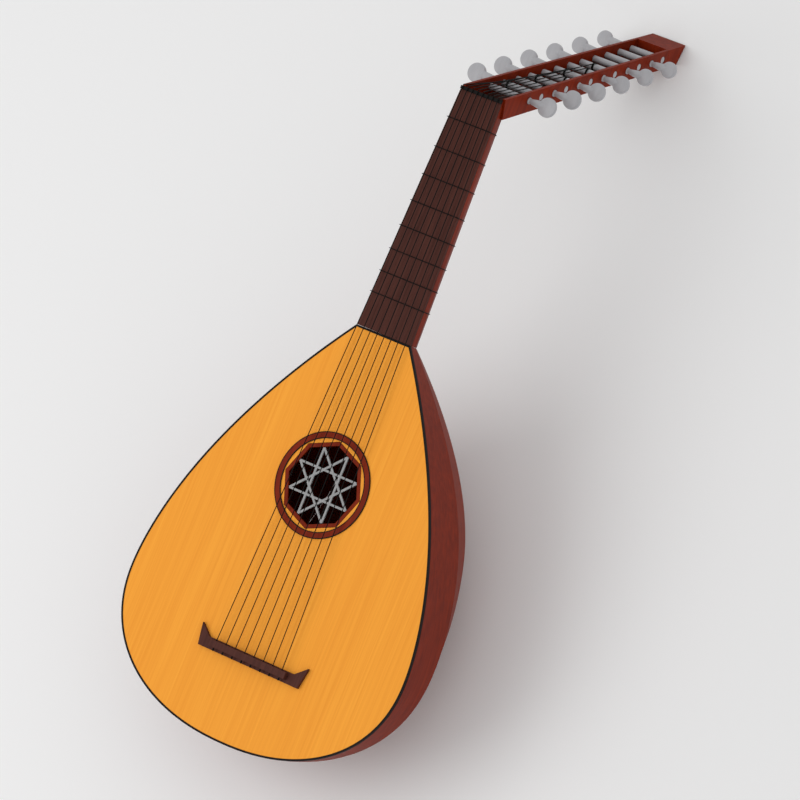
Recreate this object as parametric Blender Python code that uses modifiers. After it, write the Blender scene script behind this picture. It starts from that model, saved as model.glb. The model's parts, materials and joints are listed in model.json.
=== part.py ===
"""A gut-strung lute, lying on its back. Sizes are in millimetres and meshes in metres.

The lute frame has X to the treble side, Y along the neck and Z out of the soundboard,
with its origin where the strings leave the bridge.
"""

import math

import bmesh
import bpy
from mathutils import Matrix, Vector

MM = 0.001
GAP = 0.3

# Body
STRING_LENGTH = 600.0
NECK_LENGTH = 258.0
JOINT_Y = STRING_LENGTH - NECK_LENGTH
TAIL_Y = -92.4
WIDEST_Y = 35.0
DEEPEST_Y = 165.0
BODY_HALF = 171.0
BODY_DEPTH = 172.0
JOINT_HALF = 33.0
JOINT_DEPTH = 34.0
SHOULDER_POWER = 1.74
TAIL_POWER = 2.2
BACK_SHOULDER_POWER = 1.87
BACK_TAIL_POWER = 1.75
SECTION_POWER = 2.49
RIBS = 9
RIB_THICK = 1.5
RIB_SEAM = 0.15
BOARD_THICK = 2.0
LACE_WIDTH = 2.0
LACE_PROUD = 0.3
SHOULDER_STEPS = 9
TAIL_STEPS = 8
TAIL_END_ANGLE = 84.0
NECK_BLOCK_LENGTH = 42.0
BRACE_PLACES = (-45.0, 15.0, 75.0, 125.0, JOINT_Y - 102.0, JOINT_Y - 57.0)
BRACE_WIDE = 5.0
BRACE_DEEP = 12.0
BRACE_END = 10.0

# Rose
ROSE_Y = 182.0
RING_OUTER = 53.5
RING_INNER = 47.5
RING_THICK = 0.7
FRAME_OUTER = 46.0
FRAME_BAR = 4.0
STAR_POINTS = 8
STAR_STEP = 3
STAR_RADIUS = 37.8
STAR_BAR = 2.2

# Bridge and strings
STRINGS = 8
STRING_RADIUS = 0.55
BRIDGE_SPAN = 82.0
NUT_SPAN = 43.0
BRIDGE_HALF = 53.0
BRIDGE_TIP = (66.0, 10.7)
BRIDGE_BACK = (62.0, 11.6)
BRIDGE_BASE = 3.5
TIE_HALF = 47.0
TIE_DEEP = 7.0
TIE_FRONT = 1.0
TIE_HEIGHT = 9.5
STRING_AT_BRIDGE = 7.5
TIE_HOLE = 1.1
KNOT_SWELL = 2.2

# Neck
NUT_HALF = 24.25
NUT_DEPTH = 30.5
BOARD_HEIGHT = 3.0
NUT_LONG = 3.5
NUT_PROUD = 1.6
FRETS = 8
FRET_RADIUS = 0.45
SECTION_STEPS = 10

# Pegbox
PEGBOX_ANGLE = math.radians(67.0)
PEGBOX_LENGTH = 340.0
PEGBOX_HALF = (26.0, 20.5)
PEGBOX_HEIGHT = (21.2, 19.3)
CHEEK_START = 4.8
END_BLOCK_LENGTH = 32.0
CHANNEL_END = PEGBOX_LENGTH - END_BLOCK_LENGTH
CHEEK_THICK = 3.2
BACK_THICK = 3.5
END_RAKE = 12.0

# Pegs
PEGS_A_SIDE = 6
PEG_PITCH = 45.4
RIGHT_FIRST = 50.0
LEFT_FIRST = 72.0
PEG_DEPTH = 9.0
SHAFT_RADIUS = 3.4
PEG_CLEAR = 0.5
SHANK_RADIUS = 2.6
SHANK_END_RADIUS = 4.4
RIGHT_REACH = 22.0
LEFT_REACH = 30.0
HEAD_RADIUS = (10.0, 8.5)
HEAD_THICK = 4.5
PEG_RECESS = 0.4
SHOULDER_OUT = 0.6
SHANK_START = 1.2
HEAD_ROOT = (0.85, 0.5)
PEG_SIDES = 12
HEAD_SIDES = 20
LANE_PITCH = 4.0
WINDING_TURNS = 2
WINDING_POINTS = 8
WINDING_PITCH = 1.15


def clear_scene():
    for obj in list(bpy.data.objects):
        bpy.data.objects.remove(obj, do_unlink=True)


def new_collection(name):
    made = bpy.data.collections.new(name)
    bpy.context.scene.collection.children.link(made)
    return made


def new_material(name, colour, roughness):
    made = bpy.data.materials.new(name)
    made.use_nodes = True
    shader = made.node_tree.nodes["Principled BSDF"]
    shader.inputs["Base Color"].default_value = (*colour, 1.0)
    shader.inputs["Roughness"].default_value = roughness
    return made


clear_scene()
lute = new_collection("lute")
cutters = new_collection("cutters")
spruce = new_material("spruce", (1.0, 0.402, 0.053), 0.45)
redwood = new_material("redwood", (0.178, 0.015, 0.002), 0.3)
darkwood = new_material("darkwood", (0.102, 0.032, 0.023), 0.4)
blackwood = new_material("blackwood", (0.01, 0.008, 0.007), 0.4)
gut = new_material("gut", (0.012, 0.011, 0.010), 0.5)
peg_grey = new_material("peg_grey", (0.456, 0.456, 0.479), 0.35)
stand = bpy.data.objects.new("stand", None)
lute.objects.link(stand)


def place(name, data, material, helper=False, at=(0.0, 0.0, 0.0), turn=None):
    obj = bpy.data.objects.new(name, data)
    (cutters if helper else lute).objects.link(obj)
    obj.parent = stand
    obj.location = Vector(at) * MM
    if turn is not None:
        obj.rotation_euler = turn.to_euler()
    if helper:
        obj.hide_render = True
        obj.display_type = "WIRE"
    data.materials.append(material)
    return obj


def finish_mesh(bm, name):
    bmesh.ops.recalc_face_normals(bm, faces=bm.faces)
    bmesh.ops.scale(bm, vec=(MM, MM, MM), verts=bm.verts)
    data = bpy.data.meshes.new(name)
    bm.to_mesh(data)
    bm.free()
    return data


def prism(name, outline, low, high, material, helper=False):
    """A flat outline, given as (x, y), as a plate from low to high."""
    bm = bmesh.new()
    face = bm.faces.new([bm.verts.new((x, y, low)) for x, y in outline])
    raised = bmesh.ops.extrude_face_region(bm, geom=[face])["geom"]
    moved = [part for part in raised if isinstance(part, bmesh.types.BMVert)]
    bmesh.ops.translate(bm, vec=(0.0, 0.0, high - low), verts=moved)
    return place(name, finish_mesh(bm, name), material, helper)


def shaped_box(name, corner, material, helper=False):
    """A box whose corners are put where corner(u, v, w) says, each of u, v and w being 0 or 1."""
    bm = bmesh.new()
    bmesh.ops.create_cube(bm, size=1.0)
    for vert in bm.verts:
        vert.co = corner(*(round(value + 0.5) for value in vert.co))
    return place(name, finish_mesh(bm, name), material, helper)


def loft(name, sections, material):
    """A closed body through sections of the same number of points, capped at both ends."""
    bm = bmesh.new()
    rings = [[bm.verts.new(point) for point in section] for section in sections]
    count = len(rings[0])
    for near, far in zip(rings, rings[1:]):
        for i in range(count):
            after = (i + 1) % count
            bm.faces.new((near[i], near[after], far[after], far[i]))
    bm.faces.new(rings[0])
    bm.faces.new(rings[-1])
    return place(name, finish_mesh(bm, name), material)


def cylinders(name, radius, length, sides, matrices, material):
    """A helper mesh of equal cylinders, each about the local Z of its own matrix."""
    bm = bmesh.new()
    for matrix in matrices:
        made = bmesh.ops.create_cone(
            bm, cap_ends=True, segments=sides, radius1=radius, radius2=radius, depth=length
        )
        bmesh.ops.transform(bm, matrix=matrix, verts=made["verts"])
    return place(name, finish_mesh(bm, name), material, helper=True)


def boolean(obj, other, operation="DIFFERENCE"):
    modifier = obj.modifiers.new(operation.lower() + " " + other.name, "BOOLEAN")
    modifier.object = other
    modifier.operation = operation


def tube(name, points, radius, material, closed=False, swell=None):
    """A cord or wire through points. swell gives a factor on the radius for chosen points."""
    data = bpy.data.curves.new(name, "CURVE")
    data.dimensions = "3D"
    data.bevel_depth = radius * MM
    data.bevel_resolution = 1
    data.use_fill_caps = not closed
    spline = data.splines.new("POLY")
    spline.points.add(len(points) - 1)
    for i, (point, co) in enumerate(zip(spline.points, points)):
        point.co = (*(Vector(co) * MM), 1.0)
        point.radius = (swell or {}).get(i, 1.0)
    spline.use_cyclic_u = closed
    return place(name, data, material)


def blend(pair, share):
    return pair[0] + (pair[1] - pair[0]) * share


def half_width(y, inset=0.0):
    """Half the width of the body at y, for a surface that lies inset inside the outer one."""
    wide = BODY_HALF - inset
    if y >= WIDEST_Y:
        share = (y - WIDEST_Y) / (JOINT_Y - WIDEST_Y)
        return wide - (BODY_HALF - JOINT_HALF) * share**SHOULDER_POWER
    share = (WIDEST_Y - y) / (WIDEST_Y - TAIL_Y - inset)
    return wide * max(0.0, 1.0 - share**TAIL_POWER) ** (1.0 / TAIL_POWER)


def bowl_depth(y, inset=0.0):
    deep = BODY_DEPTH - inset
    if y >= DEEPEST_Y:
        share = (y - DEEPEST_Y) / (JOINT_Y - DEEPEST_Y)
        return deep - (BODY_DEPTH - JOINT_DEPTH) * share**BACK_SHOULDER_POWER
    share = (DEEPEST_Y - y) / (DEEPEST_Y - TAIL_Y - inset)
    return deep * max(0.0, 1.0 - share**BACK_TAIL_POWER) ** (1.0 / BACK_TAIL_POWER)


def round_section(y, half, depth, top, angles):
    """Points of the rounded section below top, from +X round to -X."""
    points = []
    for angle in angles:
        across, down = math.cos(angle), math.sin(angle)
        x = math.copysign(abs(across) ** (2.0 / SECTION_POWER), across) * half
        z = -abs(down) ** (2.0 / SECTION_POWER) * depth
        points.append(Vector((x, y, min(z, top))))
    return points


def body_outline():
    """The soundboard's outline, from the treble end of the neck joint round by the tail."""
    shoulder = [
        blend((JOINT_Y, WIDEST_Y), i / SHOULDER_STEPS) for i in range(SHOULDER_STEPS + 1)
    ]
    right = [(half_width(y), y) for y in shoulder]
    for i in range(1, TAIL_STEPS):
        angle = math.pi / 2 * i / TAIL_STEPS
        x = BODY_HALF * math.cos(angle) ** (2.0 / TAIL_POWER)
        y = WIDEST_Y - (WIDEST_Y - TAIL_Y) * math.sin(angle) ** (2.0 / TAIL_POWER)
        right.append((x, y))
    left = [(-x, y) for x, y in reversed(right)]
    return [*right, (0.0, TAIL_Y), *left]


def inset_outline(outline, distance):
    """The outline moved inwards by distance, with mitred corners. It runs clockwise."""
    moved = []
    for i, here in enumerate(outline):
        here = Vector(here)
        before = (here - Vector(outline[i - 1])).normalized()
        after = (Vector(outline[(i + 1) % len(outline)]) - here).normalized()
        inward = Vector((before.y, -before.x)) + Vector((after.y, -after.x))
        moved.append(here + inward * (distance / (inward.length_squared / 2.0)))
    return [(point.x, point.y) for point in moved]


def polygon(radius, sides, centre_y, turn=0.0):
    angles = [turn + 2 * math.pi * i / sides for i in range(sides)]
    return [(radius * math.cos(a), centre_y + radius * math.sin(a)) for a in angles]


def make_soundboard():
    outline = body_outline()
    board = prism(
        "soundboard", inset_outline(outline, LACE_WIDTH + GAP), -BOARD_THICK, 0.0, spruce
    )
    opening = polygon(FRAME_OUTER + GAP * 1.4, STAR_POINTS, ROSE_Y, math.pi / 2)
    boolean(board, prism("rose_opening", opening, -9.0, 9.0, spruce, helper=True))
    lace = prism("edge_lace", outline, -BOARD_THICK, LACE_PROUD, blackwood)
    inner = inset_outline(outline, LACE_WIDTH)
    boolean(lace, prism("lace_inside", inner, -9.0, 9.0, blackwood, helper=True))


def make_rose():
    ring = prism(
        "rose_ring", polygon(RING_OUTER, 40, ROSE_Y), GAP, GAP + RING_THICK, redwood
    )
    hole = polygon(RING_INNER, 40, ROSE_Y)
    boolean(ring, prism("ring_hole", hole, -9.0, 9.0, redwood, helper=True))
    frame = prism(
        "rose_frame",
        polygon(FRAME_OUTER, STAR_POINTS, ROSE_Y, math.pi / 2),
        -BOARD_THICK,
        0.0,
        redwood,
    )
    light = polygon(FRAME_OUTER - FRAME_BAR, STAR_POINTS, ROSE_Y, math.pi / 2)
    boolean(frame, prism("frame_hole", light, -9.0, 9.0, redwood, helper=True))
    tips = polygon(STAR_RADIUS, STAR_POINTS, ROSE_Y, math.pi / STAR_POINTS)
    bars = []
    for i in range(STAR_POINTS):
        start = Vector(tips[i])
        end = Vector(tips[(i + STAR_STEP) % STAR_POINTS])
        along = (end - start).normalized()
        side = Vector((-along.y, along.x)) * (STAR_BAR / 2)
        outline = [start - side, end - side, end + side, start + side]
        name = "star_bar_" + str(i) if i else "rose_star"
        bars.append(prism(name, outline, -BOARD_THICK, -0.4, peg_grey, helper=i > 0))
    for bar in bars[1:]:
        boolean(bars[0], bar, "UNION")


def bowl_station(i, inset):
    """(y, half width, depth) of station i, counted from the neck joint to the tail."""
    if i <= SHOULDER_STEPS:
        y = blend((JOINT_Y, DEEPEST_Y), i / SHOULDER_STEPS)
    else:
        share = (i - SHOULDER_STEPS) / TAIL_STEPS
        sweep = math.sin(math.radians(TAIL_END_ANGLE * share))
        y = DEEPEST_Y - (DEEPEST_Y - TAIL_Y - inset) * sweep
    return y, half_width(y, inset), bowl_depth(y, inset)


def bowl_section(i, inset, angles):
    y, half, depth = bowl_station(i, inset)
    return round_section(y, half, depth, -BOARD_THICK - GAP, angles)


def make_ribs():
    angles = [math.pi * i / RIBS for i in range(RIBS + 1)]
    stations = range(SHOULDER_STEPS + TAIL_STEPS + 1)
    outer = [bowl_section(i, 0.0, angles) for i in stations]
    inner = [bowl_section(i, RIB_THICK, angles) for i in stations]
    for rib in range(RIBS):
        sections = []
        for outside, inside in zip(outer, inner):
            section = []
            for near, far in ((outside[rib], outside[rib + 1]), (inside[rib + 1], inside[rib])):
                seam = (far - near).normalized() * RIB_SEAM
                section += [near + seam, far - seam]
            sections.append(section)
        loft("rib_" + str(rib + 1), sections, redwood)


def make_blocks():
    angles = [math.pi * i / RIBS for i in range(RIBS + 1)]
    inset = RIB_THICK + 2 * GAP
    ends = (JOINT_Y, JOINT_Y - NECK_BLOCK_LENGTH)
    top = -BOARD_THICK - GAP
    sections = [
        round_section(y, half_width(y, inset), bowl_depth(y, inset), top, angles)
        for y in (ends[0], (ends[0] + ends[1]) / 2, ends[1])
    ]
    loft("neck_block", sections, spruce)
    last = SHOULDER_STEPS + TAIL_STEPS
    tail = [bowl_section(i, inset, angles) for i in range(last - 2, last + 1)]
    loft("tail_block", tail, spruce)


def make_braces():
    top = -BOARD_THICK - GAP
    for number, y in enumerate(BRACE_PLACES, 1):
        depth = bowl_depth(y, RIB_THICK)
        low = (BRACE_DEEP - top) / depth
        half = half_width(y, RIB_THICK) * (1 - low**SECTION_POWER) ** (1 / SECTION_POWER) - BRACE_END

        def corner(u, v, w, half=half, y=y):
            return (
                blend((-half, half), u),
                y + blend((-BRACE_WIDE / 2, BRACE_WIDE / 2), v),
                blend((top - BRACE_DEEP, top), w),
            )

        shaped_box("brace_" + str(number), corner, spruce)


def neck_half(y):
    return blend((JOINT_HALF, NUT_HALF), (y - JOINT_Y) / (STRING_LENGTH - JOINT_Y))


def neck_depth(y):
    return blend((JOINT_DEPTH, NUT_DEPTH), (y - JOINT_Y) / (STRING_LENGTH - JOINT_Y))


def pegbox_point(x, along, up):
    """A point of the pegbox: along it from the nut, and up from the cheeks' rims."""
    y = STRING_LENGTH + along * math.cos(PEGBOX_ANGLE) + up * math.sin(PEGBOX_ANGLE)
    z = up * math.cos(PEGBOX_ANGLE) - along * math.sin(PEGBOX_ANGLE)
    return Vector((x, y, z))


def pegbox_half(along):
    return blend(PEGBOX_HALF, along / PEGBOX_LENGTH)


def pegbox_height(along):
    return blend(PEGBOX_HEIGHT, along / PEGBOX_LENGTH)


def make_neck():
    angles = [math.pi * i / SECTION_STEPS for i in range(SECTION_STEPS + 1)]
    sections = [
        round_section(y, neck_half(y), neck_depth(y), -BOARD_HEIGHT - GAP, angles)
        for y in (JOINT_Y + GAP, STRING_LENGTH)
    ]
    neck = loft("neck", sections, redwood)
    deepest = -pegbox_height(0.0) - GAP

    def seat(u, v, w):
        along = blend((CHEEK_START - GAP, 2 * NUT_DEPTH), v)
        return pegbox_point(blend((-60.0, 60.0), u), along, blend((deepest, 60.0), w))

    boolean(neck, shaped_box("pegbox_seat", seat, redwood, helper=True))
    board_end = STRING_LENGTH - NUT_LONG - GAP

    def board(u, v, w):
        y = blend((JOINT_Y + GAP, board_end), v)
        return (neck_half(y) * blend((-1, 1), u), y, blend((-BOARD_HEIGHT, 0.0), w))

    shaped_box("fingerboard", board, darkwood)

    def nut(u, v, w):
        y = blend((STRING_LENGTH - NUT_LONG, STRING_LENGTH), v)
        return (NUT_HALF * blend((-1, 1), u), y, blend((-BOARD_HEIGHT, NUT_PROUD), w))

    shaped_box("nut", nut, blackwood)


def make_frets():
    clear = GAP + FRET_RADIUS
    angles = [math.pi * (i + 0.5) / SECTION_STEPS for i in range(SECTION_STEPS)]
    for number in range(1, FRETS + 1):
        y = STRING_LENGTH * 2.0 ** (-number / 12.0)
        half = neck_half(y) + clear
        under = round_section(y, half, neck_depth(y) + clear, 0.0, angles)
        loop = [Vector((half, y, clear)), *under, Vector((-half, y, clear))]
        tube("fret_" + str(number), loop, FRET_RADIUS, gut, closed=True)


def peg_place(side, number):
    """How far along the pegbox a peg's axis lies; side is 1 on the treble side and -1 on the bass."""
    return (RIGHT_FIRST if side > 0 else LEFT_FIRST) + number * PEG_PITCH


def all_pegs():
    return [(side, number) for side in (1, -1) for number in range(PEGS_A_SIDE)]


def peg_turn(side):
    """Turns local Z to point out at the head, and local X to face the player with the head's flat."""
    out = Vector((side, 0.0, 0.0))
    up = Vector((0.0, 0.0, 1.0))
    return Matrix((up, out.cross(up), out)).transposed()


def make_pegbox():
    shafts = []
    for side, number in all_pegs():
        centre = pegbox_point(0.0, peg_place(side, number), -PEG_DEPTH)
        shafts.append(Matrix.Translation(centre) @ peg_turn(side).to_4x4())
    radius = SHAFT_RADIUS + PEG_CLEAR
    holes = cylinders("peg_holes", radius, 4 * PEGBOX_HALF[0], PEG_SIDES, shafts, redwood)
    for side, name in ((-1, "pegbox_left_cheek"), (1, "pegbox_right_cheek")):

        def corner(u, v, w, side=side):
            along = blend((CHEEK_START, CHANNEL_END), v)
            x = side * (pegbox_half(along) - CHEEK_THICK * u)
            return pegbox_point(x, along, blend((-pegbox_height(along), 0.0), w))

        cheek = shaped_box(name, corner, redwood)
        boolean(cheek, holes)

    def back(u, v, w):
        along = blend((CHEEK_START, CHANNEL_END), v)
        x = (pegbox_half(along) - CHEEK_THICK - GAP) * blend((-1, 1), u)
        return pegbox_point(x, along, -pegbox_height(along) + BACK_THICK * w)

    shaped_box("pegbox_back", back, darkwood)

    def end(u, v, w):
        along = blend((CHANNEL_END + GAP, PEGBOX_LENGTH - END_RAKE * (1 - w)), v)
        x = pegbox_half(along) * blend((-1, 1), u)
        return pegbox_point(x, along, blend((-pegbox_height(along), 0.0), w))

    shaped_box("pegbox_end", end, redwood)


def make_peg(side, number):
    along = peg_place(side, number)
    wall = pegbox_half(along)
    reach = RIGHT_REACH if side > 0 else LEFT_REACH
    head = blend(HEAD_RADIUS, number / (PEGS_A_SIDE - 1))
    profile = (
        (0.0, wall + reach),
        (SHANK_END_RADIUS, wall + reach - HEAD_ROOT[1] * head),
        (SHANK_END_RADIUS, wall + reach - HEAD_ROOT[0] * head),
        (SHANK_RADIUS, wall + SHANK_START),
        (SHAFT_RADIUS, wall + SHOULDER_OUT),
        (SHAFT_RADIUS, PEG_RECESS - wall),
        (0.0, PEG_RECESS - wall),
    )
    bm = bmesh.new()
    verts = [bm.verts.new((x, 0.0, z)) for x, z in profile]
    for upper, lower in zip(verts, verts[1:]):
        bm.edges.new((upper, lower))
    name = "peg_" + ("right_" if side > 0 else "left_") + str(number + 1)
    at = pegbox_point(0.0, along, -PEG_DEPTH)
    peg = place(name, finish_mesh(bm, name), peg_grey, at=at, turn=peg_turn(side))
    turned = peg.modifiers.new("turned", "SCREW")
    turned.steps = turned.render_steps = PEG_SIDES
    turned.use_merge_vertices = True
    turned.merge_threshold = 0.0001
    turned.use_smooth_shade = False
    lay = Matrix.Translation((0.0, 0.0, wall + reach)) @ Matrix.Rotation(math.pi / 2, 4, "Y")
    disc = cylinders("head_of_" + name, head, HEAD_THICK, HEAD_SIDES, [lay], peg_grey)
    disc.parent = peg
    boolean(peg, disc, "UNION")


def make_bridge():
    outline = [
        (-BRIDGE_HALF, 0.0),
        (BRIDGE_HALF, 0.0),
        BRIDGE_TIP,
        (BRIDGE_BACK[0], -BRIDGE_BACK[1]),
        (-BRIDGE_BACK[0], -BRIDGE_BACK[1]),
        (-BRIDGE_TIP[0], BRIDGE_TIP[1]),
    ]
    bridge = prism("bridge", outline, GAP, GAP + BRIDGE_BASE, darkwood)
    back = -TIE_FRONT - TIE_DEEP
    block = [(-TIE_HALF, back), (TIE_HALF, back), (TIE_HALF, -TIE_FRONT), (-TIE_HALF, -TIE_FRONT)]
    boolean(bridge, prism("tie_block", block, 1.0, TIE_HEIGHT, darkwood, helper=True), "UNION")
    across = Matrix.Rotation(math.pi / 2, 4, "X")
    places = [
        Matrix.Translation((string_x(BRIDGE_SPAN, i), back / 2, STRING_AT_BRIDGE)) @ across
        for i in range(STRINGS)
    ]
    boolean(bridge, cylinders("tie_holes", TIE_HOLE, 30.0, 8, places, darkwood))


def string_x(span, i):
    return span * (i / (STRINGS - 1) - 0.5)


def make_string(i):
    """From its knot behind the bridge, over the nut, to its turns round a peg."""
    start = string_x(BRIDGE_SPAN, i)
    nut = string_x(NUT_SPAN, i)
    back = -TIE_FRONT - TIE_DEEP
    over_nut = NUT_PROUD + GAP + STRING_RADIUS
    knot = [(start, back + y, STRING_AT_BRIDGE) for y in (-3.6, -2.6, -1.6, -1.1)]
    points = [Vector(point) for point in knot]
    points.append(Vector((start, 0.0, STRING_AT_BRIDGE)))
    points.append(Vector((nut, STRING_LENGTH - NUT_LONG / 2, over_nut)))
    points.append(Vector((nut, STRING_LENGTH + 2 * STRING_RADIUS, over_nut)))
    side = 1 if i >= STRINGS // 2 else -1
    number = STRINGS - 1 - i if side > 0 else i
    along = peg_place(side, number)
    lane = (i - (STRINGS - 1) / 2) * LANE_PITCH
    radius = SHAFT_RADIUS + GAP + STRING_RADIUS
    for turn in range(WINDING_TURNS * WINDING_POINTS + 1):
        angle = math.pi / 2 - 2 * math.pi * turn / WINDING_POINTS
        x = lane + side * WINDING_PITCH * turn / WINDING_POINTS
        up = -PEG_DEPTH + radius * math.sin(angle)
        points.append(pegbox_point(x, along + radius * math.cos(angle), up))
    swell = {0: 0.8, 1: KNOT_SWELL, 2: KNOT_SWELL}
    tube("string_" + str(i + 1), points, STRING_RADIUS, gut, swell=swell)


def lay_down():
    """Pitches the lute until the bowl's back and the pegbox end stand on the same floor."""
    tip = pegbox_point(0.0, PEGBOX_LENGTH, 0.0)
    bottom = math.pi * (RIBS // 2) / RIBS
    backs = []
    for i in range(SHOULDER_STEPS + TAIL_STEPS + 1):
        backs.append(bowl_section(i, 0.0, [bottom])[0])
    slope = max((tip.z - point.z) / (tip.y - point.y) for point in backs)
    stand.rotation_euler = (-math.atan(slope), 0.0, 0.0)
    bpy.context.view_layer.update()
    graph = bpy.context.evaluated_depsgraph_get()
    low = Vector((math.inf,) * 3)
    high = -low
    for obj in lute.objects:
        if obj.type == "EMPTY":
            continue
        evaluated = obj.evaluated_get(graph)
        for vert in evaluated.to_mesh().vertices:
            point = evaluated.matrix_world @ vert.co
            low = Vector(map(min, low, point))
            high = Vector(map(max, high, point))
        evaluated.to_mesh_clear()
    return low, high


def settle(low, high):
    """Puts the middle of the underside at the origin."""
    stand.location = (-(low.x + high.x) / 2, -(low.y + high.y) / 2, -low.z)


make_soundboard()
make_rose()
make_ribs()
make_blocks()
make_braces()
make_neck()
make_frets()
make_pegbox()
for peg_side, peg_number in all_pegs():
    make_peg(peg_side, peg_number)
make_bridge()
for string_number in range(STRINGS):
    make_string(string_number)
settle(*lay_down())
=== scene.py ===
import json
import math

import bmesh
import bpy
from mathutils import Matrix, Vector


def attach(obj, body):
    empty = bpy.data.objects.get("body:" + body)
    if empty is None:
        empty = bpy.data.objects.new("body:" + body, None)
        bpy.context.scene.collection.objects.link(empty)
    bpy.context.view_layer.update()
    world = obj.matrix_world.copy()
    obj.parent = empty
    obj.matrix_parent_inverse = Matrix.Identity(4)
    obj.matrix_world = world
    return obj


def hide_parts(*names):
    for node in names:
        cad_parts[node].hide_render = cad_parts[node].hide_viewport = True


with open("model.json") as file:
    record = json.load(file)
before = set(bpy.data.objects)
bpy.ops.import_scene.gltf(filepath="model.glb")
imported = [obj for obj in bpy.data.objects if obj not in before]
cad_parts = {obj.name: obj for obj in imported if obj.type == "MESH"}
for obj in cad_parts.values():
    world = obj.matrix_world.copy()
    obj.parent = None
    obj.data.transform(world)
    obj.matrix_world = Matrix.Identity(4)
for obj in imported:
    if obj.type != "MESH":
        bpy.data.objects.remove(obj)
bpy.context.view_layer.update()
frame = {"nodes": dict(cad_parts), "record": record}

# Places are in millimetres in the lute's own frame:
# X to the treble side, Y up the neck, Z out of the soundboard.
mm = 0.001
mergeWithin = 0.01
sharpAngle = math.radians(35)
luteFrame = {
    "pitch": math.radians(13.541724),
    "origin": (0.0, -0.347929, 0.134562),  # in metres, as the lute lies at rest
}
toWorld = (
    Matrix.Translation(luteFrame["origin"])
    @ Matrix.Rotation(luteFrame["pitch"], 4, "X")
    @ Matrix.Scale(mm, 4)
)
body = {
    "joint": 342.0, "tail": -92.4, "widest": 35.0, "deepest": 165.0,  # places along Y
    "half": 171.0, "depth": 172.0, "jointHalf": 33.0, "jointDepth": 34.0,
    "shoulder": 1.74, "tailPower": 2.2,  # powers of the outline's curves
    "backShoulder": 1.87, "backTail": 1.75, "section": 2.49,  # powers of the bowl's curves
    "gap": 0.3,
}


def newGroup(name, inputs, outputs):
    group = bpy.data.node_groups.new(name, "ShaderNodeTree")
    for label, kind, value in inputs:
        socket = group.interface.new_socket(label, in_out="INPUT", socket_type=kind)
        socket.default_value = value
    for label, kind in outputs:
        group.interface.new_socket(label, in_out="OUTPUT", socket_type=kind)
    return group


# Fine lines with a share of broad clouds; the dark tone starts at low and is full at high.
grainNoise = {"detail": 4.0, "broadScale": 14.0, "broadShare": 0.35, "low": 0.45, "high": 0.9}


def woodGrainGroup():
    # Grain runs along the lute's Y; Object coordinates are turned back into its frame.
    group = newGroup(
        "woodGrain",
        [
            ("Light", "NodeSocketColor", (1, 1, 1, 1)),
            ("Dark", "NodeSocketColor", (0, 0, 0, 1)),
            ("Lines", "NodeSocketFloat", 700.0),
            ("Stretch", "NodeSocketFloat", 0.02),
            ("Contrast", "NodeSocketFloat", 0.5),
        ],
        [("Color", "NodeSocketColor"), ("Height", "NodeSocketFloat")],
    )
    nodes, links = group.nodes, group.links
    given = nodes.new("NodeGroupInput")
    result = nodes.new("NodeGroupOutput")
    place = nodes.new("ShaderNodeTexCoord")
    turn = nodes.new("ShaderNodeMapping")
    turn.inputs["Rotation"].default_value = (-luteFrame["pitch"], 0, 0)
    links.new(place.outputs["Object"], turn.inputs["Vector"])
    split = nodes.new("ShaderNodeSeparateXYZ")
    links.new(turn.outputs["Vector"], split.inputs["Vector"])
    squeeze = nodes.new("ShaderNodeMath")
    squeeze.operation = "MULTIPLY"
    links.new(split.outputs["Y"], squeeze.inputs[0])
    links.new(given.outputs["Stretch"], squeeze.inputs[1])
    join = nodes.new("ShaderNodeCombineXYZ")
    links.new(split.outputs["X"], join.inputs["X"])
    links.new(squeeze.outputs["Value"], join.inputs["Y"])
    links.new(split.outputs["Z"], join.inputs["Z"])
    grain = nodes.new("ShaderNodeTexNoise")
    grain.inputs["Detail"].default_value = grainNoise["detail"]
    links.new(join.outputs["Vector"], grain.inputs["Vector"])
    links.new(given.outputs["Lines"], grain.inputs["Scale"])
    broad = nodes.new("ShaderNodeTexNoise")
    broad.inputs["Scale"].default_value = grainNoise["broadScale"]
    links.new(join.outputs["Vector"], broad.inputs["Vector"])
    mixed = nodes.new("ShaderNodeMath")
    mixed.operation = "MULTIPLY_ADD"
    mixed.inputs[1].default_value = grainNoise["broadShare"]
    links.new(broad.outputs["Fac"], mixed.inputs[0])
    links.new(grain.outputs["Fac"], mixed.inputs[2])
    spread = nodes.new("ShaderNodeMapRange")
    spread.inputs["From Min"].default_value = grainNoise["low"]
    spread.inputs["From Max"].default_value = grainNoise["high"]
    links.new(mixed.outputs["Value"], spread.inputs["Value"])
    links.new(given.outputs["Contrast"], spread.inputs["To Max"])
    # A colour mix takes its factor at input 0 and its colours at 6 and 7, and gives output 2.
    tint = nodes.new("ShaderNodeMix")
    tint.data_type = "RGBA"
    links.new(spread.outputs["Result"], tint.inputs[0])
    links.new(given.outputs["Light"], tint.inputs[6])
    links.new(given.outputs["Dark"], tint.inputs[7])
    links.new(tint.outputs[2], result.inputs["Color"])
    links.new(spread.outputs["Result"], result.inputs["Height"])
    return group


woodGrain = woodGrainGroup()

# Shared by all the lute's finishes; the relief is in metres.
surface = {"relief": 0.0003, "coatRough": 0.12, "specular": 0.1}


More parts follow.
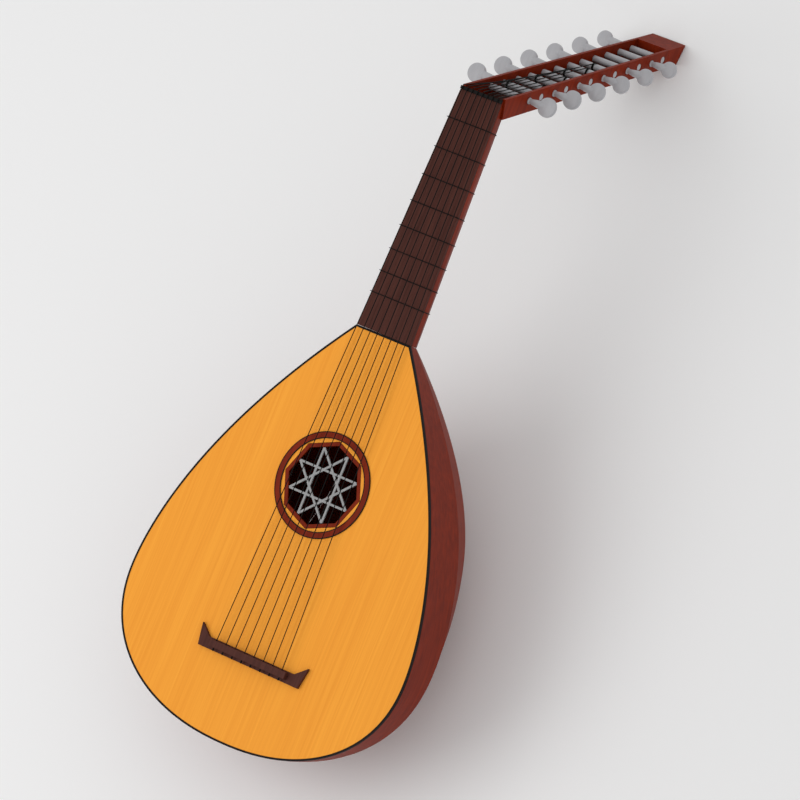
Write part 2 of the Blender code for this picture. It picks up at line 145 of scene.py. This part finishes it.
def woodMaterial(name, light, dark, lines, stretch, contrast, rough, bump, coat=0.0):
    made = bpy.data.materials.new(name)
    made.use_nodes = True
    nodes, links = made.node_tree.nodes, made.node_tree.links
    shader = nodes["Principled BSDF"]
    grain = nodes.new("ShaderNodeGroup")
    grain.node_tree = woodGrain
    grain.inputs["Light"].default_value = (*light, 1)
    grain.inputs["Dark"].default_value = (*dark, 1)
    grain.inputs["Lines"].default_value = lines
    grain.inputs["Stretch"].default_value = stretch
    grain.inputs["Contrast"].default_value = contrast
    links.new(grain.outputs["Color"], shader.inputs["Base Color"])
    relief = nodes.new("ShaderNodeBump")
    relief.inputs["Strength"].default_value = bump
    relief.inputs["Distance"].default_value = surface["relief"]
    links.new(grain.outputs["Height"], relief.inputs["Height"])
    links.new(relief.outputs["Normal"], shader.inputs["Normal"])
    shader.inputs["Roughness"].default_value = rough
    shader.inputs["Coat Weight"].default_value = coat
    shader.inputs["Coat Roughness"].default_value = surface["coatRough"]
    shader.inputs["Specular IOR Level"].default_value = surface["specular"]
    return made


spruce = woodMaterial(
    "oiledSpruce", light=(1.0, 0.405, 0.045), dark=(0.84, 0.28, 0.025),
    lines=620.0, stretch=0.012, contrast=0.6, rough=0.6, bump=0.12,
)
redWood = woodMaterial(
    "redVarnish", light=(0.25, 0.02, 0.001), dark=(0.13, 0.009, 0.001),
    lines=260.0, stretch=0.05, contrast=0.8, rough=0.5, bump=0.1,
)
darkWood = woodMaterial(
    "darkBoard", light=(0.1, 0.031, 0.022), dark=(0.05, 0.015, 0.011),
    lines=420.0, stretch=0.04, contrast=0.8, rough=0.55, bump=0.15,
)
blackWood = woodMaterial(
    "ebony", light=(0.008, 0.006, 0.005), dark=(0.003, 0.002, 0.002),
    lines=420.0, stretch=0.05, contrast=0.8, rough=0.5, bump=0.1,
)
# Painted shade: a near-black finish on the staves' inner faces that stands for the shade inside the
# bowl.
paintedShadeInside = woodMaterial(
    "paintedShadeInside", light=(0.012, 0.011, 0.007), dark=(0.007, 0.006, 0.004),
    lines=260.0, stretch=0.05, contrast=0.8, rough=0.9, bump=0.05,
)
pegGrey = woodMaterial(
    "pegGrey", light=(0.47, 0.47, 0.49), dark=(0.40, 0.40, 0.42),
    lines=300.0, stretch=0.2, contrast=0.6, rough=0.3, bump=0.04, coat=0.3,
)
latticeGrey = woodMaterial(
    "latticeGrey", light=(0.42, 0.42, 0.42), dark=(0.30, 0.30, 0.30),
    lines=500.0, stretch=0.2, contrast=0.6, rough=0.55, bump=0.1,
)
gutBlack = woodMaterial(
    "darkGut", light=(0.007, 0.006, 0.005), dark=(0.003, 0.003, 0.003),
    lines=900.0, stretch=0.5, contrast=0.6, rough=0.6, bump=0.1,
)
print("materials made")


def setMaterial(obj, *materials):
    obj.data.materials.clear()
    for material in materials:
        obj.data.materials.append(material)


def finishPiece(name, mesh, materials, rides="root", nodes=()):
    # Puts a mesh made in the lute's frame where the lute lies.
    mesh.transform(toWorld)
    mesh.shade_smooth()
    mesh.set_sharp_from_angle(angle=sharpAngle)
    piece = bpy.data.objects.new(name, mesh)
    bpy.context.scene.collection.objects.link(piece)
    setMaterial(piece, *materials)
    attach(piece, rides)
    if nodes:
        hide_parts(*nodes)


def fillMesh(mesh, bm):
    # Turns the faces outwards on the way.
    bmesh.ops.recalc_face_normals(bm, faces=bm.faces)
    bm.to_mesh(mesh)
    bm.free()
    return mesh


def flatPiece(name, loops, low, high, material, nodes=()):
    # Outline and holes as a filled 2D curve, made a mesh.
    curve = bpy.data.curves.new(name, "CURVE")
    curve.dimensions = "2D"
    curve.fill_mode = "BOTH"
    curve.extrude = (high - low) / 2
    for loop in loops:
        spline = curve.splines.new("POLY")
        spline.points.add(len(loop) - 1)
        for point, (x, y) in zip(spline.points, loop):
            point.co = (x, y, 0, 1)
        spline.use_cyclic_u = True
    holder = bpy.data.objects.new(name + "Curve", curve)
    bpy.context.scene.collection.objects.link(holder)
    graph = bpy.context.evaluated_depsgraph_get()
    mesh = bpy.data.meshes.new_from_object(holder.evaluated_get(graph))
    bpy.data.objects.remove(holder, do_unlink=True)
    bm = bmesh.new()
    bm.from_mesh(mesh)
    bmesh.ops.remove_doubles(bm, verts=bm.verts, dist=mergeWithin)
    fillMesh(mesh, bm)
    mesh.transform(Matrix.Translation((0, 0, (high + low) / 2)))
    finishPiece(name, mesh, [material], nodes=nodes)


def halfWidth(y, inset=0.0):
    wide = body["half"] - inset
    if y >= body["widest"]:
        share = (y - body["widest"]) / (body["joint"] - body["widest"])
        return wide - (body["half"] - body["jointHalf"]) * share ** body["shoulder"]
    share = (body["widest"] - y) / (body["widest"] - body["tail"] - inset)
    power = body["tailPower"]
    return wide * max(0.0, 1 - share**power) ** (1 / power)


def bowlDepth(y, inset=0.0):
    deep = body["depth"] - inset
    if y >= body["deepest"]:
        share = (y - body["deepest"]) / (body["joint"] - body["deepest"])
        return deep - (body["depth"] - body["jointDepth"]) * share ** body["backShoulder"]
    share = (body["deepest"] - y) / (body["deepest"] - body["tail"] - inset)
    power = body["backTail"]
    return deep * max(0.0, 1 - share**power) ** (1 / power)


top = {
    "thick": 2.0, "lace": 2.0, "laceProud": 0.3, "laceClear": 0.06,
    "shoulderSteps": 60, "tailSteps": 48,
}


def bodyOutline(inset):
    # The right half from neck joint to tail, mirrored, and every corner moved inwards.
    right = []
    for i in range(top["shoulderSteps"] + 1):
        y = body["joint"] + (body["widest"] - body["joint"]) * i / top["shoulderSteps"]
        right.append((halfWidth(y), y))
    for i in range(1, top["tailSteps"]):
        angle = math.pi / 2 * i / top["tailSteps"]
        power = 2 / body["tailPower"]
        x = body["half"] * math.cos(angle) ** power
        y = body["widest"] - (body["widest"] - body["tail"]) * math.sin(angle) ** power
        right.append((x, y))
    outline = [*right, (0.0, body["tail"]), *[(-x, y) for x, y in reversed(right)]]
    moved = []
    for i, here in enumerate(outline):
        here = Vector(here)
        before = (here - Vector(outline[i - 1])).normalized()
        after = (Vector(outline[(i + 1) % len(outline)]) - here).normalized()
        inward = Vector((before.y, -before.x)) + Vector((after.y, -after.x))
        moved.append(here + inward * (inset / (inward.length_squared / 2)))
    return [(point.x, point.y) for point in moved]


rose = {
    "y": 182.0, "outer": 53.5, "inner": 47.5, "thick": 0.7, "line": 0.9, "lineProud": 0.15,
    "clear": 0.03, "roundSides": 128, "frame": 46.0, "frameSides": 8, "frameClear": 0.42,
}


def roseLoop(radius, sides=rose["roundSides"], turn=0.0):
    angles = [turn + 2 * math.pi * i / sides for i in range(sides)]
    return [(radius * math.cos(a), rose["y"] + radius * math.sin(a)) for a in angles]


def makeTop():
    low = -top["thick"]
    opening = roseLoop(rose["frame"] + rose["frameClear"], rose["frameSides"], math.pi / 2)
    board = bodyOutline(top["lace"] + top["laceClear"])
    flatPiece("soundboardTop", [board, opening], low, 0.0, spruce, ["soundboard"])
    laceLoops = [bodyOutline(0.0), bodyOutline(top["lace"])]
    flatPiece("laceBand", laceLoops, low, top["laceProud"], blackWood, ["edge_lace"])


def makeRose():
    # A flat band round the opening, with a fine raised line on each of its edges.
    low = rose["clear"]
    high = body["gap"] + rose["thick"]
    band = [roseLoop(rose["outer"]), roseLoop(rose["inner"])]
    flatPiece("roseBand", band, low, high, redWood, ["rose_ring"])
    for name, radius in (("roseLineOuter", rose["outer"]), ("roseLineInner", rose["inner"])):
        loops = [roseLoop(radius + rose["line"] / 2), roseLoop(radius - rose["line"] / 2)]
        flatPiece(name, loops, low, high + rose["lineProud"], blackWood)


bowl = {"ribs": 9, "thick": 1.5, "seam": 0.12, "shoulderSteps": 36, "tailSteps": 40, "endAngle": 88.5}


def bowlStation(i, inset):
    # The corners of all the staves at one place along the bowl.
    if i <= bowl["shoulderSteps"]:
        y = body["joint"] + (body["deepest"] - body["joint"]) * i / bowl["shoulderSteps"]
    else:
        share = (i - bowl["shoulderSteps"]) / bowl["tailSteps"]
        sweep = math.sin(math.radians(bowl["endAngle"] * share))
        y = body["deepest"] - (body["deepest"] - body["tail"] - inset) * sweep
    half, depth = halfWidth(y, inset), bowlDepth(y, inset)
    points = []
    for j in range(bowl["ribs"] + 1):
        angle = math.pi * j / bowl["ribs"]
        across, down = math.cos(angle), math.sin(angle)
        power = 2 / body["section"]
        x = math.copysign(abs(across) ** power, across) * half
        z = -(abs(down) ** power) * depth
        points.append(Vector((x, y, min(z, -top["thick"] - body["gap"]))))
    return points


def makeBowl():
    # Nine bent staves; their inner faces are painted near black as painted shade for the dark inside of
    # the bowl.
    stations = range(bowl["shoulderSteps"] + bowl["tailSteps"] + 1)
    outer = [bowlStation(i, 0.0) for i in stations]
    inner = [bowlStation(i, bowl["thick"]) for i in stations]
    for rib in range(bowl["ribs"]):
        bm = bmesh.new()
        rings = []
        for outside, inside in zip(outer, inner):
            ring = []
            for near, far in ((outside[rib], outside[rib + 1]), (inside[rib + 1], inside[rib])):
                seam = (far - near).normalized() * bowl["seam"]
                ring += [bm.verts.new(near + seam), bm.verts.new(far - seam)]
            rings.append(ring)
        for near, far in zip(rings, rings[1:]):
            for i in range(4):
                after = (i + 1) % 4
                face = bm.faces.new((near[i], near[after], far[after], far[i]))
                face.material_index = 1 if i == 2 else 0  # side 2 of the ring is the inner face
        bm.faces.new(rings[0])
        bm.faces.new(rings[-1])
        mesh = fillMesh(bpy.data.meshes.new("stave"), bm)
        number = str(rib + 1)
        finishPiece("stave" + number, mesh, [redWood, paintedShadeInside], nodes=["rib_" + number])


pegbox = {
    "start": 600.0, "angle": math.radians(67.0), "length": 340.0, "halfNear": 26.0, "halfFar": 20.5,
    "pegsPerSide": 6, "pegDepth": 9.0, "pitch": 45.4, "rightFirst": 50.0, "leftFirst": 72.0,
}


def pegboxPoint(along, up):
    # A point in the channel's middle plane; along runs from the nut, up is square to the pegbox.
    angle = pegbox["angle"]
    y = pegbox["start"] + along * math.cos(angle) + up * math.sin(angle)
    return Vector((0, y, up * math.cos(angle) - along * math.sin(angle)))


peg = {
    "shaft": 3.4, "shank": 2.6, "flare": 0.5, "shankEnd": 4.4, "headNear": 10.0, "headFar": 8.5,  # radii
    "rightReach": 22.0, "leftReach": 30.0,  # from the wall out to the head's middle
    "shaftOut": 0.6, "shankOut": 1.2, "flareOut": 5.0, "recess": 0.4,  # from a wall's outer face
    "endBack": 0.85, "tipBack": 0.4,  # shares of the head's radius
    "tipShare": 0.6,  # share of the shank end's radius
    "headThick": 4.5, "bevel": 0.9, "rimAngle": 1.0,
    "shaftSides": 40, "headSides": 48, "bevelSteps": 3,
}


def pegProfile(wall, reach, head):
    # Radius and distance from the channel's middle, from inside the head to the far wall.
    inner = peg["recess"] - wall
    return [
        (0.0, reach),
        (peg["shankEnd"] * peg["tipShare"], reach - peg["tipBack"] * head),
        (peg["shankEnd"], reach - peg["endBack"] * head),
        (peg["shank"] + peg["flare"], wall + peg["flareOut"]),
        (peg["shank"], wall + peg["shankOut"]),
        (peg["shaft"], wall + peg["shaftOut"]),
        (peg["shaft"], inner),
        (0.0, inner),
    ]


def turnShaft(bm, profile):
    sides = peg["shaftSides"]
    rings = []
    for radius, z in profile:
        angles = [2 * math.pi * i / sides for i in range(sides if radius else 1)]
        rings.append([bm.verts.new((radius * math.cos(a), radius * math.sin(a), z)) for a in angles])
    for near, far in zip(rings, rings[1:]):
        for i in range(sides):
            after = (i + 1) % sides
            corners = [near[i % len(near)], near[after % len(near)]]
            corners += [far[after % len(far)], far[i % len(far)]]
            bm.faces.new(list(dict.fromkeys(corners)))  # the single point at an end counts once


def addHead(bm, reach, head):
    # The thumb disc, its rims rounded.
    disc = bmesh.ops.create_cone(
        bm, cap_ends=True, segments=peg["headSides"], radius1=head, radius2=head, depth=peg["headThick"],
        matrix=Matrix.Translation((0, 0, reach)) @ Matrix.Rotation(math.pi / 2, 4, "Y"),
    )
    edges = dict.fromkeys(edge for vert in disc["verts"] for edge in vert.link_edges)
    rims = [edge for edge in edges if edge.calc_face_angle(0) > peg["rimAngle"]]
    bmesh.ops.bevel(
        bm, geom=rims, offset=peg["bevel"], segments=peg["bevelSteps"], affect="EDGES", profile=0.5
    )


def makePeg(hand, side, number):
    along = pegbox[hand + "First"] + number * pegbox["pitch"]
    share = along / pegbox["length"]
    wall = pegbox["halfNear"] + (pegbox["halfFar"] - pegbox["halfNear"]) * share
    reach = wall + peg[hand + "Reach"]
    head = peg["headNear"] + (peg["headFar"] - peg["headNear"]) * number / (pegbox["pegsPerSide"] - 1)
    bm = bmesh.new()
    turnShaft(bm, pegProfile(wall, reach, head))
    addHead(bm, reach, head)
    mesh = fillMesh(bpy.data.meshes.new("pegMesh"), bm)
    out = Vector((side, 0, 0))
    up = Vector((0, 0, 1))
    turn = Matrix((up, out.cross(up), out)).transposed().to_4x4()
    mesh.transform(Matrix.Translation(pegboxPoint(along, -pegbox["pegDepth"])) @ turn)
    node = "peg_" + hand + "_" + str(number + 1)
    name = "peg" + hand.title() + str(number + 1)
    finishPiece(name, mesh, [pegGrey], rides=node, nodes=[node])


def makePegs():
    for hand, side in (("right", 1), ("left", -1)):
        for number in range(pegbox["pegsPerSide"]):
            makePeg(hand, side, number)


def smoothNeck():
    # A merged copy of the CAD neck, which shades smoothly over its bends.
    mesh = frame["nodes"]["neck"].data.copy()
    bm = bmesh.new()
    bm.from_mesh(mesh)
    bmesh.ops.remove_doubles(bm, verts=bm.verts, dist=mergeWithin * mm)
    bm.to_mesh(mesh)
    bm.free()
    mesh.transform(toWorld.inverted())
    finishPiece("neckSmooth", mesh, [redWood], nodes=["neck"])


def dressNodes():
    # Every CAD solid takes the finish of its slot, though only those that nothing replaces show.
    slots = {
        "spruce": spruce, "red_wood": redWood, "dark_wood": darkWood, "black_wood": blackWood,
        "gut": gutBlack, "peg_grey": pegGrey, "lattice_grey": latticeGrey,
    }
    for part in frame["record"]["subparts"]:
        setMaterial(frame["nodes"][part["node"]], slots[part["material_slot"]])


camera = {
    "side": 30.0, "tilt": 1.0, "roll": 22.1, "distance": 6000.0, "targetY": 150.0,  # degrees and mm
    "picture": 800.0, "rightPixels": 89.7, "upPixels": 115.2, "pixelsPerMm": 1.0125,
    "sensor": 36.0, "clipEnd": 50.0,  # mm and metres
}


def makeCamera():
    side, tilt, roll = (math.radians(camera[key]) for key in ("side", "tilt", "roll"))
    away = Vector((math.sin(side) * math.cos(tilt), math.sin(tilt), math.cos(side) * math.cos(tilt)))
    along = Vector((0, 1, 0))
    up0 = (along - away * along.dot(away)).normalized()
    right0 = up0.cross(away)
    up = up0 * math.cos(roll) - right0 * math.sin(roll)
    right = right0 * math.cos(roll) + up0 * math.sin(roll)
    scale = camera["pixelsPerMm"]
    aim = Vector((0, camera["targetY"], 0))
    aim += right * camera["rightPixels"] / scale
    aim += up * camera["upPixels"] / scale
    turn = Matrix.Rotation(luteFrame["pitch"], 3, "X")
    data = bpy.data.cameras.new("view")
    data.sensor_width = camera["sensor"]
    data.lens = camera["sensor"] * camera["distance"] * scale / camera["picture"]
    data.clip_end = camera["clipEnd"]
    obj = bpy.data.objects.new("view", data)
    bpy.context.scene.collection.objects.link(obj)
    axes = Matrix((turn @ right, turn @ up, turn @ away)).transposed().to_4x4()
    obj.matrix_world = Matrix.Translation(toWorld @ (aim + away * camera["distance"])) @ axes
    bpy.context.scene.camera = obj


floorSheet = {"size": 30.0, "height": -0.0006, "colour": (0.93, 0.93, 0.93), "rough": 0.9}  # metres


def makeFloor():
    bpy.ops.mesh.primitive_plane_add(size=floorSheet["size"], location=(0, 0, floorSheet["height"]))
    floor = bpy.context.object
    floor.name = "floor"
    pale = bpy.data.materials.new("floorPale")
    pale.use_nodes = True
    shader = pale.node_tree.nodes["Principled BSDF"]
    shader.inputs["Base Color"].default_value = (*floorSheet["colour"], 1)
    shader.inputs["Roughness"].default_value = floorSheet["rough"]
    setMaterial(floor, pale)


studioLight = {
    "world": 0.68, "backdrop": 0.95,  # strengths that light the lute and that the camera sees
    "key": 26.0, "keySize": 2.2, "keyPlace": (-1.3, -1.2, 2.6),  # watts and metres
}


def makeLight():
    world = bpy.data.worlds.new("studio")
    bpy.context.scene.world = world
    world.use_nodes = True
    nodes, links = world.node_tree.nodes, world.node_tree.links
    back = nodes["Background"]
    back.inputs["Color"].default_value = (1, 1, 1, 1)
    path = nodes.new("ShaderNodeLightPath")
    strength = nodes.new("ShaderNodeMapRange")
    strength.inputs["To Min"].default_value = studioLight["world"]
    strength.inputs["To Max"].default_value = studioLight["backdrop"]
    links.new(path.outputs["Is Camera Ray"], strength.inputs["Value"])
    links.new(strength.outputs["Result"], back.inputs["Strength"])
    lamp = bpy.data.lights.new("key", "AREA")
    lamp.energy = studioLight["key"]
    lamp.size = studioLight["keySize"]
    key = bpy.data.objects.new("key", lamp)
    bpy.context.scene.collection.objects.link(key)
    key.location = studioLight["keyPlace"]
    key.rotation_euler = Vector(studioLight["keyPlace"]).to_track_quat("Z", "Y").to_euler()
    bpy.context.scene.view_settings.view_transform = "Standard"


makeCamera()
makeFloor()
makeLight()
print("camera and studio made")
dressNodes()
makeTop()
makeRose()
print("top and rose made")
makeBowl()
print("bowl made")
makePegs()
smoothNeck()
print("pegs and neck made")
